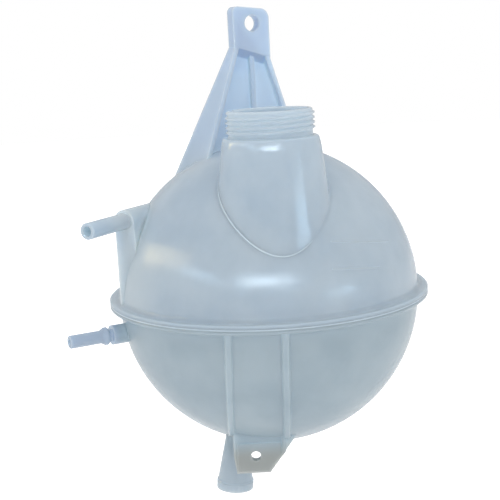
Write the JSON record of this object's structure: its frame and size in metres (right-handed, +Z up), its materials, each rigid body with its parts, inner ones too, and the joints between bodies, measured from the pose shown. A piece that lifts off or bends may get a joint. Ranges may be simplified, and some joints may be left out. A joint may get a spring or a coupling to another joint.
{
  "type": "coolant expansion tank",
  "caption": "Ball-shaped translucent coolant tank, welded at its middle, with a threaded filler neck, hose nipples, a bottom outlet and fixing bracket and tab.",
  "frame": {"origin": "middle of the upper fixing hole, half way through the bracket's head", "axes": "+Z up along the filler neck, -Y towards the side that the lower fixing tab faces, +X to the right seen from that side"},
  "size_m": [0.216, 0.194, 0.2896],
  "materials": {
    "upper_plastic": "natural milky polypropylene, semi-gloss",
    "lower_plastic": "natural milky polypropylene, semi-gloss"
  },
  "bodies": {
    "root": {"upper_half": "upper_plastic", "lower_half": "lower_plastic"}
  },
  "joints": []
}
